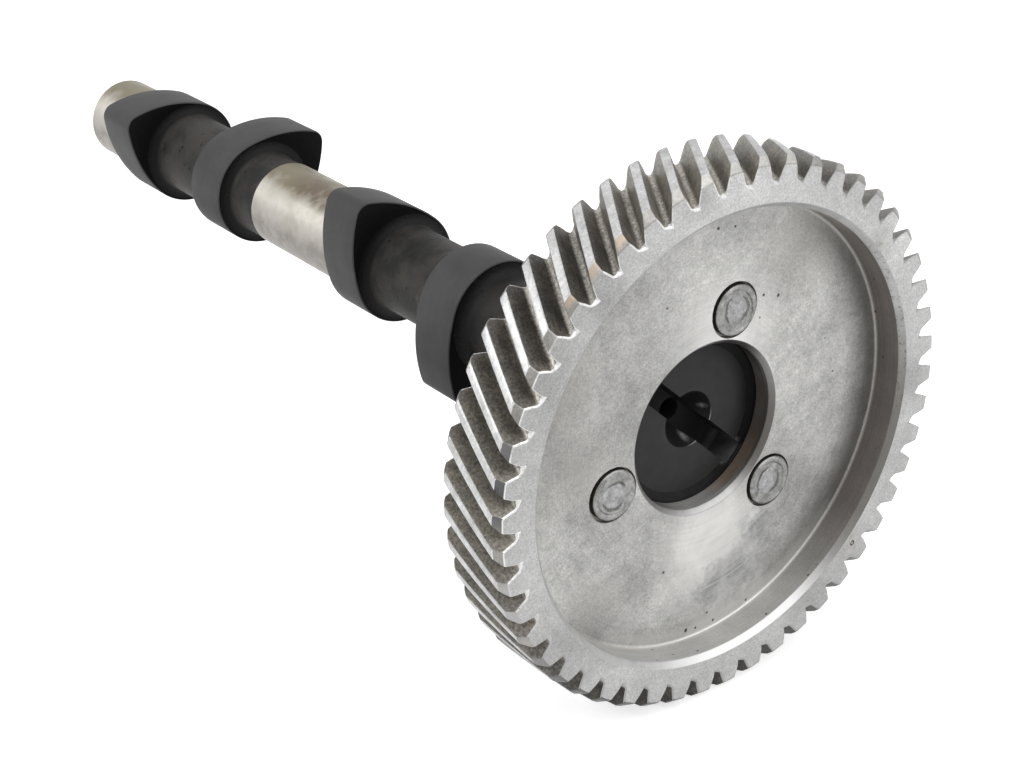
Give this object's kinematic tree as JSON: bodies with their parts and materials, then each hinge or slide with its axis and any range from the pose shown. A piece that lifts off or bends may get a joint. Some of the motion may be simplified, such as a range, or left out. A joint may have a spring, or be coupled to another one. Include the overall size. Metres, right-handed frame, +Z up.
{
  "type": "camshaft",
  "caption": "Flat-four engine camshaft with a riveted helical timing gear, cam lobes, ground bearing journals and a slotted end that drives the oil pump.",
  "frame": {"origin": "on the shaft axis, in the middle of the thrust journal", "axes": "+Y along the shaft from the timing gear towards the end journal, +Z up, +X across; turned about the shaft as in the picture"},
  "size_m": [0.1346, 0.2942, 0.1346],
  "materials": {
    "black_iron": "black phosphate, journals ground bright",
    "gear_alloy": "machined, lightly stained",
    "rivet_steel": "plain, struck heads"
  },
  "bodies": {
    "root": {"camshaft": "black_iron", "timing_gear": "gear_alloy", "gear_rivets": "rivet_steel"}
  },
  "joints": []
}
